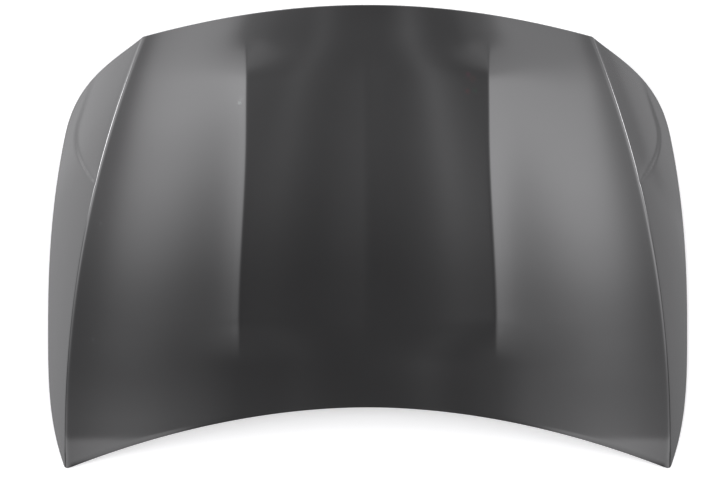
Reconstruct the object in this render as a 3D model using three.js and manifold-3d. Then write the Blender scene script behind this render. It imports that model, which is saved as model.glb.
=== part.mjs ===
// A car bonnet (engine cover) of a mid-size sport-utility car, lying skin side up on a floor.
// X runs across the car, Y from the windscreen to the nose, Z up. Sizes are in millimetres.
//
// An outer skin and a pressed inner panel are joined by a hem all round: the skin's edge is folded
// back under the inner panel's flange. Dabs of mastic keep the two apart between the ribs, and
// reinforcements in the box section carry the hinges and the latch's striker.
import * as THREE from "three";
import { mergeVertices } from "three/addons/utils/BufferGeometryUtils.js";
import Module from "manifold-3d";

const wasm = await Module();
wasm.setup();

// Outline in plan, to the bend of the hem. Y starts at the rear corners' tips.
const halfWidth = 808.5; // the widest point of the flanks
const length = 1167; // rear corners to the nose
const rearBow = 161; // how far the rear edge's middle lies ahead of its corners
const rearBowPower = 1.92;
const rearCornerRadius = 15;
const frontBow = 77; // how far the nose lies ahead of the front corners
const frontBowPower = 1.95;
const widestY = 345;
const rearTuck = 43; // how far the flank pulls in towards the rear corner
const rearTuckPower = 3;
const frontTuck = 49; // how far it pulls in at the front end of its straight run
const frontTuckPower = 2.4;
const flankFrontSetback = 291; // from the nose to where the flank's edge touches the floor
const flankFrontY = length - flankFrontSetback;
const lampCutStartY = flankFrontY - 26; // where the edge starts to bend round to the lamp cut
const lampCutEndY = flankFrontY + 64; // the foremost point that still counts as the side edge

// Creases in plan
const flankWidthRear = 42.5; // side crease in from the widest point, at the rear corner
const flankWidthFront = 243.5; // and at the front corner
const creaseRearX = halfWidth - flankWidthRear;
const creaseFrontX = halfWidth - flankWidthFront;
const creasePower = 2.2;
const ridgeRearX = 315; // ridge beside the raised middle, at its rear end
const ridgeFrontX = 296; // and at its front end
const ridgeRearY = 270;
const ridgeNoseGap = 82; // from the ridge's front end to the nose
const ridgeFrontY = length - ridgeNoseGap;
const ridgeRearFade = 60;
const ridgeFrontFade = 90;

// Heights
const edgeArch = 12; // the flank's lower edge lifts this much between its two ends
const crown = 52; // the middle stands this much above the side creases
const crownPower = 1.5;
const crownTurn = 0.83; // share of a half wave: under 1, the shoulder still falls at the crease
const ridgeHeight = 7;
const ridgeInside = 150; // how far the ridge spreads towards the middle
const ridgeOutside = 70; // and towards the flank
const ridgeRound = 5;
const flankSlope = 0.5; // extra fall of the flank beside the crease
const flankBulge = 0.00167; // how much steeper it gets for each millimetre outwards
const creaseRound = 3;
const scoopDepth = 2.5; // shallow scoop in the flank beside the lamp
const scoopRearY = flankFrontY - 154;
const scoopFrontY = flankFrontY + 124;
const scoopReach = 0.85; // share of the flank's width that it takes up
const scoopEdge = 14; // width of its step at the rear end

// Sheet metal
const skinThickness = 0.8;
const innerThickness = 0.7;
const hemThickness = 3.4; // skin, flange and returned skin with the adhesive between them
const hemReturn = 10; // how far the skin is folded back
const hemFlange = 12; // width of the inner panel's flange
const flangeInset = 1; // gap between the flange's edge and the hem's bend
const flangeDepth = 1.35; // flange below the skin's top face
const channelDepth = 20; // edge channel's floor below the skin
const ribDepth = 17; // ribs' floor below the skin
const landDepth = 5.4; // lands that carry the mastic, below the skin
const floorLevel = 4; // the inner panel stays this far above the flank's lower edge
const ribHalfWidth = 22;
const ribWall = 13; // plan width of a rib's sloping side
const channelStart = 27; // edge channel's floor, from the edge
const cornerChannelStart = 16; // and at the rear corners' tips
const rearChannelEnd = 95;
const frontChannelEnd = 112;
const sideChannelInboard = 82; // side channel's floor ends this far inboard of the crease
const channelWall = 15;
const seat = 0.3; // gap kept between pieces that touch

// Ribs: place across as a share of the way to the crease, at the rear and at the front
const innerRib = { rear: 0.29, front: 0.12 };
const outerRib = { rear: 0.64, front: 0.7 };
const rearCrossRib = 0.36; // cross ribs' places along the length
const frontCrossRib = 0.66;
const holeMargin = 27; // land left between a rib and a lightening hole
const holeCornerRadius = 24;
const middleWeb = 22; // extra land beside the ribs at the middle and front side holes

// Latch and hinge fittings
const padDepth = 1.4; // flat pads stand this far out of the inner panel
const padCornerRadius = 8;
const strikerPlate = { width: 92, depth: 44, thickness: 3, corner: 8 };
const plateMargin = 4; // between a reinforcement's edge and its pad's, all round
const strikerPad = { width: 184, depth: 66 };
const latchPlate = {
  width: strikerPad.width - 2 * plateMargin,
  depth: strikerPad.depth - 2 * plateMargin,
  thickness: 1.5,
  flange: 9,
  flangeEnd: 10, // the flange stops this far from each end
  corner: 3,
};
const strikerBolts = [-33, 33]; // places along the plate
const strikerWire = 8;
const strikerSpan = 30; // between the centres of the loop's legs
const strikerDrop = 40;
const strikerSetback = 70; // from the nose to the loop
const hingePad = { width: 68, depth: 46 };
const hingePlate = {
  width: hingePad.width - 2 * plateMargin,
  depth: hingePad.depth - 2 * plateMargin,
  thickness: 2,
  corner: 6,
};
const hingeBolts = [-17, 17];
const hingeSpot = { x: creaseRearX - 118, fromRear: 64 };
const strutSpot = { x: creaseRearX - 76, y: widestY + 75 }; // where a gas strut's stud screws in
const strutPad = { width: 46, depth: 46 };
const strutPlate = {
  width: strutPad.width - 2 * plateMargin,
  depth: strutPad.depth - 2 * plateMargin,
  thickness: 2,
  corner: 6,
};
const bolt = { diameter: 8, length: 16, across: 13, head: 5.5, washer: 17, washerHeight: 1.4 };
const nut = { across: 13, height: 6.5, flange: 17, flangeHeight: 1.6 };
const loopBend = 11; // corner of the loop's wire
const boltClearance = 0.5;
const threadClearance = 0.3;
const dabRadius = 10;
const dabMargin = 7; // between a dab and the channel beside it

const steelPrimer = { color: 0x2f3031, roughness: 0.32, metalness: 0.0 };
const zincPlate = { color: 0xa9a79c, roughness: 0.4, metalness: 0.9 };
const masticRubber = { color: 0x1d1d1e, roughness: 0.85, metalness: 0.0 };

const lerp = THREE.MathUtils.lerp;
const clamp = THREE.MathUtils.clamp;
const smoothstep = THREE.MathUtils.smoothstep;
const creaseFrontY = length - frontBow;

// Plan curves, as x from y or y from x

function creaseX(y) {
  const share = Math.max(y, 0) / creaseFrontY;
  return creaseRearX - (creaseRearX - creaseFrontX) * share ** creasePower;
}

function ridgeX(y) {
  return lerp(ridgeRearX, ridgeFrontX, (y - ridgeRearY) / (ridgeFrontY - ridgeRearY));
}

function flankX(y) {
  if (y < widestY) {
    return halfWidth - rearTuck * (Math.max(widestY - y, 0) / widestY) ** rearTuckPower;
  }
  return halfWidth - frontTuck * ((y - widestY) / (flankFrontY - widestY)) ** frontTuckPower;
}

function rearEdgeY(x) {
  return rearBow * (1 - (Math.abs(x) / creaseRearX) ** rearBowPower);
}

function frontEdgeY(x) {
  return length - frontBow * (Math.abs(x) / creaseFrontX) ** frontBowPower;
}

// Heights of the skin's top face over the plan

function edgeHeight(y) {
  const middle = flankFrontY / 2;
  return edgeArch * (1 - ((y - middle) / middle) ** 2);
}

function flankFall(d) {
  return flankSlope * d * (1 + flankBulge * d);
}

const crownSpan = 1 - Math.cos(Math.PI * crownTurn);
const crownEndSlope = (Math.PI * crownTurn * crownPower * Math.sin(Math.PI * crownTurn)) / crownSpan;

function crownFall(s) {
  if (s > 1) return 1 + crownEndSlope * (s - 1);
  return (1 - Math.cos(Math.PI * crownTurn * s ** crownPower)) / crownSpan;
}

function creaseHeight(y) {
  const width = flankX(y) - creaseX(y);
  return edgeHeight(y) + flankFall(width) + (crown * crownEndSlope * width) / creaseX(y);
}

function ridge(x, y) {
  const d = x - ridgeX(y);
  const reach = d < 0 ? ridgeInside : ridgeOutside;
  const fade =
    smoothstep(y, ridgeRearY, ridgeRearY + ridgeRearFade) *
    (1 - smoothstep(y, ridgeFrontY - ridgeFrontFade, ridgeFrontY));
  return ridgeHeight * fade * Math.exp((ridgeRound - Math.hypot(d, ridgeRound)) / reach);
}

// A leaf-shaped scoop along the crease: nothing at its front tip, deepest at its rear end.
function scoop(x, y) {
  const along = (y - scoopRearY) / (scoopFrontY - scoopRearY);
  if (along <= 0 || along >= 1) return 0;
  const width = flankX(y) - creaseX(y);
  const reach = scoopReach * width * Math.sqrt(Math.sin(Math.PI * along ** 0.8));
  const fromCrease = x - creaseX(y);
  const inside = Math.min(reach - fromCrease, y - scoopRearY);
  const start = smoothstep(fromCrease, 0, creaseRound * 2);
  return scoopDepth * (1 - along) ** 0.7 * start * smoothstep(inside, 0, scoopEdge);
}

function skinHeight(x, y) {
  const across = Math.abs(x);
  const beyond = across - creaseX(y);
  const rounded = (beyond + Math.hypot(beyond, creaseRound)) / 2;
  const upper = creaseHeight(y) + crown * (1 - crownFall(across / creaseX(y)));
  return upper + ridge(across, y) - flankFall(rounded) - scoop(across, y);
}

// The face's normal, from heights taken a step to each side
function skinNormal(x, y, step) {
  return new THREE.Vector3(
    skinHeight(x - step, y) - skinHeight(x + step, y),
    skinHeight(x, y - step) - skinHeight(x, y + step),
    2 * step,
  ).normalize();
}

// Side edge in plan, from the rear corner to the lamp cut, and the cut up to the front corner

function sampled(curve, from, to, count) {
  return Array.from({ length: count + 1 }, (_, i) => curve(lerp(from, to, i / count)));
}

const plan = (x, y) => new THREE.Vector2(x, y);

const sideRun = sampled((y) => plan(flankX(y), y), rearCornerRadius, lampCutStartY, 60);
const runEnd = sideRun.at(-1);
const runDirection = runEnd.clone().sub(sideRun.at(-2)).normalize();
const frontCorner = plan(creaseFrontX, creaseFrontY);
const lampCutLength = runEnd.distanceTo(frontCorner);
const lampCutDirection = plan(-1, 0.8).normalize();
const lampBend = new THREE.CubicBezierCurve(
  runEnd,
  runEnd.clone().addScaledVector(runDirection, lampCutLength * 0.46),
  frontCorner.clone().addScaledVector(lampCutDirection, -lampCutLength * 0.28),
  frontCorner,
);
const bendPoints = lampBend.getPoints(80);
const bendSplit = bendPoints.findIndex((p) => p.y > lampCutEndY);
const rearTip = plan(creaseRearX - rearCornerRadius * 0.35, rearCornerRadius * 0.22);
const sideEdge = [rearTip, ...sideRun, ...bendPoints.slice(1, bendSplit + 1)];
const lampCut = bendPoints.slice(bendSplit).reverse();

// The point at a share of a polyline's own length
function along(points, share) {
  const reach = [0];
  for (let i = 1; i < points.length; i++) {
    reach.push(reach[i - 1] + points[i].distanceTo(points[i - 1]));
  }
  const target = clamp(share, 0, 1) * reach.at(-1);
  let k = reach.findIndex((r) => r >= target && r > 0);
  if (k < 1) k = 1;
  const t = (target - reach[k - 1]) / (reach[k] - reach[k - 1]);
  return points[k - 1].clone().lerp(points[k], t);
}

function lengthOf(points) {
  return points.slice(1).reduce((sum, p, i) => sum + p.distanceTo(points[i]), 0);
}

const cutLength = lengthOf(lampCut);
const narrowestFlank = 42; // the grid's crease column keeps this far from the edge at the rear

// The grid of plan points. v runs from the rear edge, 0, to the front, 1. The lateral place runs
// from the centre line, 0, over the crease column, 1, to the side edge, 2.

const sidePoint = (v) => along(sideEdge, v);

function creasePoint(v) {
  const y = lerp(rearCornerRadius * 0.8, creaseFrontY, v);
  const flank = flankX(y) - creaseX(y);
  const shift = Math.max(narrowestFlank - flank, 0) * (1 - smoothstep(v, 0.5, 1));
  const x = creaseX(y) - shift;
  return plan(x, y + (rearEdgeY(x) - rearEdgeY(creaseX(y))) * (1 - v) ** 6);
}

const rearInner = plan(creaseRearX - narrowestFlank, rearEdgeY(creaseRearX - narrowestFlank));

function gridPoint(place, v) {
  const inner = v > 0 ? creasePoint(v) : rearInner;
  if (place <= 1) {
    const rear = rearEdgeY(place * rearInner.x) - rearInner.y;
    const front = frontEdgeY(place * creaseFrontX) - creaseFrontY;
    return plan(place * inner.x, inner.y + lerp(rear, front, v));
  }
  const t = place - 1;
  const edge = sidePoint(v);
  const bow = along(lampCut, t).sub(frontCorner.clone().lerp(lampCut.at(-1), t));
  return inner.clone().lerp(edge, t).addScaledVector(bow, v ** 6);
}

function outwardNormal(before, after) {
  const t = after.clone().sub(before).normalize();
  return plan(t.y, -t.x);
}

function endNormal(place, v) {
  const h = 0.02;
  const n = outwardNormal(gridPoint(Math.max(place - h, 0), v), gridPoint(Math.min(place + h, 2), v));
  if (place < h) n.set(0, 1);
  return (v > 0.5) === (n.y > 0) ? n : n.negate();
}

function sideNormal(v) {
  const h = 0.006;
  return outwardNormal(sidePoint(v - h), sidePoint(v + h));
}

// At the crease's front end a move in from the outline keeps to the crease's own side.
function frontDirection(place) {
  const normal = endNormal(place, 1);
  const crease = gridPoint(1, 1).sub(gridPoint(1, 0.97)).normalize();
  crease.divideScalar(crease.dot(normal));
  return normal.lerp(crease, 1 - smoothstep(Math.abs(place - 1), 0.03, 0.15));
}

// A node of the grid: its plan point and, on the outline, the direction that points out of it
function node(column, row) {
  const place = column.at(row.v);
  const point = gridPoint(place, row.v);
  if (place === 2) {
    const out = row.v === 0 || row.v === 1 ? endNormal(place, row.v) : plan(0, 0);
    return { point, normal: out.add(sideNormal(row.v)).normalize() };
  }
  if (row.v === 1) return { point, normal: frontDirection(place) };
  return { point, normal: row.v === 0 ? endNormal(place, 0) : null };
}

// Sheets. A grid holds rows of nodes across the whole width, from left to right.

function fullGrid(columns, rows) {
  const flip = (p) => p && plan(-p.x, p.y);
  return rows.map((row) => {
    const right = columns.map((column) => node(column, row));
    const left = right.slice(1).reverse();
    return [...left.map(({ point, normal }) => ({ point: flip(point), normal: flip(normal) })), ...right];
  });
}

// The ring where the edge channel's floor starts is nearer to the edge at the rear corners.
function channelInset(point) {
  const fromTip = plan(Math.abs(point.x), point.y).distanceTo(rearTip);
  return lerp(cornerChannelStart, channelStart, smoothstep(fromTip, 10, 90));
}

const moveIn = ({ point, normal }, distance) => point.clone().addScaledVector(normal, -distance);
const innermost = (n) => (n.normal ? moveIn(n, channelInset(n.point)) : n.point);
const onSkin = (p) => new THREE.Vector3(p.x, p.y, skinHeight(p.x, p.y));
const underSkin = (p, depth) => onSkin(p).addScaledVector(skinNormal(p.x, p.y, 1), -depth);

function rimOf(grid) {
  const last = grid.length - 1;
  return [
    ...grid[0],
    ...grid.slice(1, last).map((row) => row.at(-1)),
    ...[...grid[last]].reverse(),
    ...grid.slice(1, last).map((row) => row[0]).reverse(),
  ];
}

const planDistance = (p, q) => Math.hypot(p.x - q.x, p.y - q.y);

// Closes a sheet from its top face, rings of points round its edge, and its underside.
function sheetGeometry(top, rings, bottom) {
  const vertices = [];
  const faces = [];
  const add = (p) => vertices.push(p) - 1;
  const addGrid = (grid) => grid.map((row) => row.map(add));
  const upper = addGrid(top);
  const lower = addGrid(bottom);
  for (let j = 0; j + 1 < top.length; j++) {
    for (let i = 0; i + 1 < top[0].length; i++) {
      const [a, b, c, d] = [[j, i], [j, i + 1], [j + 1, i + 1], [j + 1, i]];
      const at = (grid, k) => grid[k[0]][k[1]];
      const rising = planDistance(at(top, a), at(top, c));
      const falling = planDistance(at(top, b), at(top, d));
      const leftHalf = i < (top[0].length - 1) / 2;
      const useRising = Math.abs(rising - falling) < 1e-4 ? leftHalf : rising < falling;
      const cut = useRising ? [[a, b, c], [a, c, d]] : [[a, b, d], [b, c, d]];
      for (const corners of cut) {
        faces.push(corners.map((k) => at(upper, k)));
        faces.push(corners.map((k) => at(lower, k)).reverse());
      }
    }
  }
  const loops = [rimOf(upper), ...rings.map((ring) => ring.map(add)), rimOf(lower)];
  for (let k = 0; k + 1 < loops.length; k++) {
    const [outer, inner] = [loops[k], loops[k + 1]];
    outer.forEach((first, i) => {
      const next = (i + 1) % outer.length;
      const [a, b, c, d] = [first, inner[i], inner[next], outer[next]];
      const onRight = vertices[a].x + vertices[d].x > 0;
      faces.push(...(onRight ? [[a, b, c], [a, c, d]] : [[a, b, d], [b, c, d]]));
    });
  }
  const geometry = new THREE.BufferGeometry().setFromPoints(vertices);
  geometry.setIndex(faces.flat());
  return geometry;
}

// The skin's rim: the point, the face's normal, and the direction out of the edge along the face
function rimFrames(rim) {
  return rim.map((n, i) => {
    const before = onSkin(rim.at(i - 1).point);
    const after = onSkin(rim[(i + 1) % rim.length].point);
    const normal = skinNormal(n.point.x, n.point.y, 1);
    const tangent = after.sub(before).normalize();
    const steady = new THREE.Vector3(n.normal.x, n.normal.y, 0);
    const out = tangent.cross(normal).normalize();
    out.add(steady.addScaledVector(normal, -steady.dot(normal)).normalize()).normalize();
    return { point: onSkin(n.point), normal, out };
  });
}

const hemRadius = hemThickness / 2;

function outerPanel(nodes) {
  const rim = rimOf(nodes);
  const frames = rimFrames(rim);
  const place = (f, out, up) =>
    f.point.clone().addScaledVector(f.out, out).addScaledVector(f.normal, up - hemRadius);
  const arc = (radius, degrees) => {
    const a = THREE.MathUtils.degToRad(degrees);
    return frames.map((f) => place(f, radius * Math.cos(a), radius * Math.sin(a)));
  };
  const insideRadius = hemRadius - skinThickness;
  const outerArc = [30, -30, -90].map((a) => arc(hemRadius, a));
  const innerArc = [-90, 0, 90].map((a) => arc(insideRadius, a));
  const returned = [hemThickness, hemThickness - skinThickness].map((depth) =>
    rim.map((n) => underSkin(moveIn(n, hemReturn), depth)),
  );
  const under = (p) => underSkin(p, skinThickness);
  const flange = rim.map((n) => moveIn(n, hemFlange));
  const rings = [
    flange.map(onSkin),
    frames.map((f) => f.point),
    ...outerArc,
    ...returned,
    ...innerArc,
    flange.map(under),
  ];
  const inner = nodes.map((row) => row.map(innermost));
  const top = inner.map((row) => row.map(onSkin));
  return sheetGeometry(top, rings, inner.map((row) => row.map(under)));
}

// The shared grid. Each column and row says how deep the inner panel lies there: on a land or on a
// channel's floor. Where a column meets a row, the deeper one holds.

const offCrease = (distance) => (v) => 1 - distance / gridPoint(1, v).x;
const beyondCrease = (distance) => (v) => 1 + distance / flankWidth(v);

function flankWidth(v) {
  return v < 1 ? gridPoint(1, v).distanceTo(sidePoint(v)) : cutLength;
}

function ridgePlace(v) {
  const y = lerp(rearEdgeY(ridgeRearX), frontEdgeY(ridgeFrontX), v);
  return ridgeX(y) / gridPoint(1, v).x;
}

const ribSide = (rib, distance) => (v) =>
  lerp(rib.rear, rib.front, v) + distance / gridPoint(1, v).x;
const between = (one, other, share) => (v) => lerp(one(v), other(v), share);
const ribEdges = [-ribHalfWidth - ribWall, -ribHalfWidth, ribHalfWidth, ribHalfWidth + ribWall];
const ribDepths = [landDepth, ribDepth, ribDepth, landDepth];
const ribColumns = (rib) =>
  ribEdges.map((distance, i) => ({ at: ribSide(rib, distance), depth: ribDepths[i] }));
const innerRibColumns = ribColumns(innerRib);
const outerRibColumns = ribColumns(outerRib);
const sideWallTop = offCrease(sideChannelInboard + channelWall);
const land = (at) => ({ at, depth: landDepth });
const channel = (at) => ({ at, depth: channelDepth });

const columns = [
  land(() => 0),
  ...innerRibColumns,
  land(between(innerRibColumns[3].at, ridgePlace, 0.5)),
  land(ridgePlace),
  ...outerRibColumns,
  land(between(outerRibColumns[3].at, sideWallTop, 0.5)),
  land(sideWallTop),
  channel(offCrease(sideChannelInboard)),
  channel(offCrease(creaseRound)),
  channel(beyondCrease(creaseRound)),
  channel(() => 1.3),
  channel(() => 1.64),
  channel(() => 2),
];

const clearLength = length - rearBow; // on the centre line
const crossRibRows = (place) =>
  ribEdges.map((distance, i) => ({ v: place + distance / clearLength, depth: ribDepths[i] }));
const landRow = (v) => ({ v, depth: landDepth });
const channelRow = (v) => ({ v, depth: channelDepth });

const rows = [
  channelRow(0),
  channelRow(rearChannelEnd / clearLength),
  landRow((rearChannelEnd + channelWall) / clearLength),
  ...[0.16, 0.22, 0.275].map(landRow),
  ...crossRibRows(rearCrossRib),
  ...[0.46, 0.53, 0.58].map(landRow),
  ...crossRibRows(frontCrossRib),
  ...[0.735, 0.78, 0.825].map(landRow),
  landRow(1 - (frontChannelEnd + channelWall) / clearLength),
  channelRow(1 - frontChannelEnd / clearLength),
  channelRow(1),
];

const nodes = fullGrid(columns, rows);

// Inner panel

function innerHeight(p, depth) {
  const skin = skinHeight(p.x, p.y);
  return Math.min(Math.max(skin - depth, floorLevel), skin - flangeDepth);
}

// Moves a grid of points down by a thickness, measured square to the sheet on its slopes.
function underside(top, thickness) {
  const facing = (j, i) => {
    const [a, b, c, d] = [top[j][i], top[j][i + 1], top[j + 1][i + 1], top[j + 1][i]];
    return c.clone().sub(a).cross(d.clone().sub(b)).normalize();
  };
  return top.map((row, j) =>
    row.map((point, i) => {
      const around = [];
      for (const [dj, di] of [[-1, -1], [-1, 0], [0, -1], [0, 0]]) {
        const inside = j + dj >= 0 && i + di >= 0 && j + dj < top.length - 1 && i + di < row.length - 1;
        if (inside) around.push(facing(j + dj, i + di));
      }
      const normal = around.reduce((sum, n) => sum.add(n), new THREE.Vector3()).normalize();
      const least = Math.max(Math.min(...around.map((n) => n.dot(normal))), 0.6);
      return point.clone().addScaledVector(normal, -thickness / least);
    }),
  );
}

const solidOf = (geometry) => {
  const loose = geometry.index ? geometry.toNonIndexed() : geometry;
  const bare = new THREE.BufferGeometry().setAttribute("position", loose.getAttribute("position"));
  const merged = mergeVertices(bare, 1e-4);
  const mesh = new wasm.Mesh({
    numProp: 3,
    vertProperties: new Float32Array(merged.getAttribute("position").array),
    triVerts: new Uint32Array(merged.getIndex().array),
  });
  return new wasm.Manifold(mesh);
};

const geometryOf = (solid) => {
  const mesh = solid.getMesh();
  const geometry = new THREE.BufferGeometry();
  geometry.setAttribute("position", new THREE.BufferAttribute(mesh.vertProperties, 3));
  geometry.setIndex(new THREE.BufferAttribute(mesh.triVerts, 1));
  return geometry;
};

function roundedRectangle(width, depth, radius) {
  const [x, y] = [width / 2 - radius, depth / 2 - radius];
  const shape = new THREE.Shape();
  shape.absarc(x, y, radius, 0, Math.PI / 2);
  shape.absarc(-x, y, radius, Math.PI / 2, Math.PI);
  shape.absarc(-x, -y, radius, Math.PI, Math.PI * 1.5);
  shape.absarc(x, -y, radius, Math.PI * 1.5, Math.PI * 2);
  return shape;
}

function extruded(shape, from, to, curveSegments = 3) {
  const geometry = new THREE.ExtrudeGeometry(shape, {
    depth: to - from,
    bevelEnabled: false,
    curveSegments,
  });
  return geometry.translate(0, 0, from);
}

// A lightening hole in a land, with its sides along the ribs: two columns and two places along
function landHole(left, right, rear, front) {
  const corner = (column, v) => gridPoint(Math.abs(column(v)), v).multiply(
    plan(Math.sign(column(v)) || 1, 1),
  );
  const corners = [corner(left, rear), corner(right, rear), corner(right, front), corner(left, front)];
  const shape = new THREE.Shape();
  corners.forEach((p, i) => {
    const towards = (q) => p.clone().add(q.clone().sub(p).setLength(holeCornerRadius));
    const [start, end] = [towards(corners.at(i - 1)), towards(corners[(i + 1) % 4])];
    if (i === 0) shape.moveTo(start.x, start.y);
    else shape.lineTo(start.x, start.y);
    shape.quadraticCurveTo(p.x, p.y, end.x, end.y);
  });
  shape.closePath();
  return extruded(shape, -length, length);
}

const inFrom = (column, distance) => (v) => column(v) + distance / gridPoint(1, v).x;
const innerRibLeft = inFrom(innerRibColumns[0].at, -holeMargin);
const innerRibRight = inFrom(innerRibColumns[3].at, holeMargin);
const outerRibLeft = inFrom(outerRibColumns[0].at, -holeMargin);
const outerRibRight = inFrom(outerRibColumns[3].at, holeMargin);
const sideWallLeft = inFrom(sideWallTop, -holeMargin);
const widest = 130; // the widest a hole may be, so that the skin stays supported
const narrowed = (left, right) => (v) => Math.min(right(v), left(v) + widest / gridPoint(1, v).x);
const centreWeb = inFrom(() => 0, holeMargin);
const centreHalf = inFrom(() => 0, widest / 2);

const rearHoles = [0.152, 0.283];
const middleHoles = [0.44, 0.575];
const frontHoles = [0.732, 0.84];
const pairedHoles = [
  [centreWeb, narrowed(centreWeb, innerRibLeft), ...rearHoles],
  [innerRibRight, narrowed(innerRibRight, outerRibLeft), ...rearHoles],
  [outerRibRight, narrowed(outerRibRight, sideWallLeft), ...rearHoles],
  [inFrom(innerRibRight, middleWeb), narrowed(inFrom(innerRibRight, middleWeb), outerRibLeft), ...middleHoles],
  [inFrom(innerRibRight, middleWeb), narrowed(inFrom(innerRibRight, middleWeb), outerRibLeft), ...frontHoles],
];
const centreHole = [(v) => -centreHalf(v), centreHalf, ...middleHoles];

const mirrored = (geometry) => {
  const copy = geometry.clone().scale(-1, 1, 1);
  const p = copy.getAttribute("position");
  for (let i = 0; i < p.count; i += 3) {
    const [b, c] = [i + 1, i + 2].map((k) => new THREE.Vector3().fromBufferAttribute(p, k));
    p.setXYZ(i + 1, c.x, c.y, c.z);
    p.setXYZ(i + 2, b.x, b.y, b.z);
  }
  return new THREE.BufferGeometry().setAttribute("position", p);
};

const centreColumn = columns.length - 1;
const innerTop = nodes.map((row, j) =>
  row.map((n, i) => {
    const p = innermost(n);
    const depth = Math.max(columns[Math.abs(i - centreColumn)].depth, rows[j].depth);
    return new THREE.Vector3(p.x, p.y, innerHeight(p, depth));
  }),
);
const flangeRing = (inset, depth) => rimOf(nodes).map((n) => underSkin(moveIn(n, inset), depth));
const innerSheet = sheetGeometry(
  innerTop,
  [
    flangeRing(hemFlange, flangeDepth),
    flangeRing(flangeInset, flangeDepth),
    flangeRing(flangeInset, flangeDepth + innerThickness),
    flangeRing(hemFlange, flangeDepth + innerThickness),
  ],
  underside(innerTop, innerThickness),
);

const caster = new THREE.Raycaster();
const up = new THREE.Vector3(0, 0, 1);

// The height of a sheet's underside, or of its top face, over a point of the plan
function heightOn(mesh, x, y, fromBelow) {
  const direction = fromBelow ? up : up.clone().negate();
  caster.set(new THREE.Vector3(x, y, fromBelow ? -length : length), direction);
  return caster.intersectObject(mesh)[0].point.z;
}

// A frame on the inner panel's underside: Z is square to the skin above, X runs across the car.
function frameAt(x, y) {
  const sheet = new THREE.Mesh(innerSheet, new THREE.MeshBasicMaterial({ side: THREE.DoubleSide }));
  const reach = 15;
  const on = (dx, dy) =>
    new THREE.Vector3(x + dx, y + dy, heightOn(sheet, x + dx, y + dy, true));
  const across = on(reach, 0).sub(on(-reach, 0)).normalize();
  const ahead = on(0, reach).sub(on(0, -reach));
  const normal = across.clone().cross(ahead).normalize();
  const frame = new THREE.Matrix4().makeBasis(across, normal.clone().cross(across), normal);
  return frame.setPosition(on(0, 0));
}

const strikerFrame = frameAt(0, length - strikerSetback);
const hingeY = rearEdgeY(hingeSpot.x) + hingeSpot.fromRear;
const hingeFrames = [-1, 1].map((side) => frameAt(side * hingeSpot.x, hingeY));
const strutFrames = [-1, 1].map((side) => frameAt(side * strutSpot.x, strutSpot.y));

// A flat pad pressed out of the sheet, and the hollow behind it
function padSolids({ width, depth }, frame) {
  const place = (geometry) => solidOf(geometry).transform(frame.elements);
  const wall = innerThickness;
  const behind = roundedRectangle(width - 2 * wall, depth - 2 * wall, padCornerRadius - wall);
  return {
    outer: place(extruded(roundedRectangle(width, depth, padCornerRadius), -padDepth, 0.35)),
    hollow: place(extruded(behind, wall - padDepth, 3)),
  };
}

const boltHoleShape = () =>
  new THREE.Shape().absarc(0, 0, bolt.diameter / 2 + boltClearance, 0, Math.PI * 2);

function boltHoles(places, frame) {
  return places.map((x) =>
    solidOf(extruded(boltHoleShape(), -20, 20, 6).translate(x, 0, 0)).transform(frame.elements),
  );
}

function innerPanel() {
  const pads = [
    padSolids(strikerPad, strikerFrame),
    ...hingeFrames.map((frame) => padSolids(hingePad, frame)),
    ...strutFrames.map((frame) => padSolids(strutPad, frame)),
  ];
  const holes = [
    ...pairedHoles.map((hole) => landHole(...hole)),
    ...pairedHoles.map((hole) => mirrored(landHole(...hole))),
    landHole(...centreHole),
  ].map(solidOf);
  const cuts = [
    ...boltHoles(strikerBolts, strikerFrame),
    ...hingeFrames.flatMap((frame) => boltHoles(hingeBolts, frame)),
    ...strutFrames.flatMap((frame) => boltHoles([0], frame)),
  ];
  const padded = wasm.Manifold.union([solidOf(innerSheet), ...pads.map((pad) => pad.outer)]);
  const hollowed = wasm.Manifold.difference([padded, ...pads.map((pad) => pad.hollow)]);
  return geometryOf(wasm.Manifold.difference([hollowed, ...holes, ...cuts]));
}

// Fittings, each in the frame of its pad, with Z = 0 on the sheet's underside

function plateGeometry({ width, depth, corner, thickness }, bolts, from) {
  const shape = roundedRectangle(width, depth, corner);
  for (const x of bolts) {
    const hole = new THREE.Path();
    hole.absarc(x, 0, bolt.diameter / 2 + boltClearance, 0, Math.PI * 2, true);
    shape.holes.push(hole);
  }
  return extruded(shape, from, from + thickness, 4);
}

function latchPlateGeometry(from) {
  const { width, depth, flange, flangeEnd, thickness } = latchPlate;
  const base = plateGeometry(latchPlate, strikerBolts, from);
  const wall = new THREE.BoxGeometry(width - 2 * flangeEnd, thickness, flange);
  const walls = [-1, 1].map((side) => {
    const y = (side * (depth - thickness)) / 2;
    return solidOf(wall.clone().translate(0, y, from + flange / 2));
  });
  return geometryOf(wasm.Manifold.union([solidOf(base), ...walls]));
}

function hexagon(across) {
  const shape = new THREE.Shape();
  const corner = (i) => {
    const a = (i * Math.PI) / 3;
    const r = across / Math.sqrt(3);
    return [r * Math.cos(a), r * Math.sin(a)];
  };
  shape.moveTo(...corner(0));
  for (let i = 1; i < 6; i++) shape.lineTo(...corner(i));
  shape.closePath();
  return shape;
}

const disc = (diameter) => new THREE.Shape().absarc(0, 0, diameter / 2, 0, Math.PI * 2);

function nutGeometry(from) {
  const flange = solidOf(extruded(disc(nut.flange), from, from + nut.flangeHeight, 8));
  const body = solidOf(extruded(hexagon(nut.across), from, from + nut.height));
  const bore = extruded(disc(bolt.diameter + 2 * threadClearance), from - 1, from + nut.height + 1, 8);
  return geometryOf(wasm.Manifold.union([flange, body]).subtract(solidOf(bore)));
}

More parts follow.
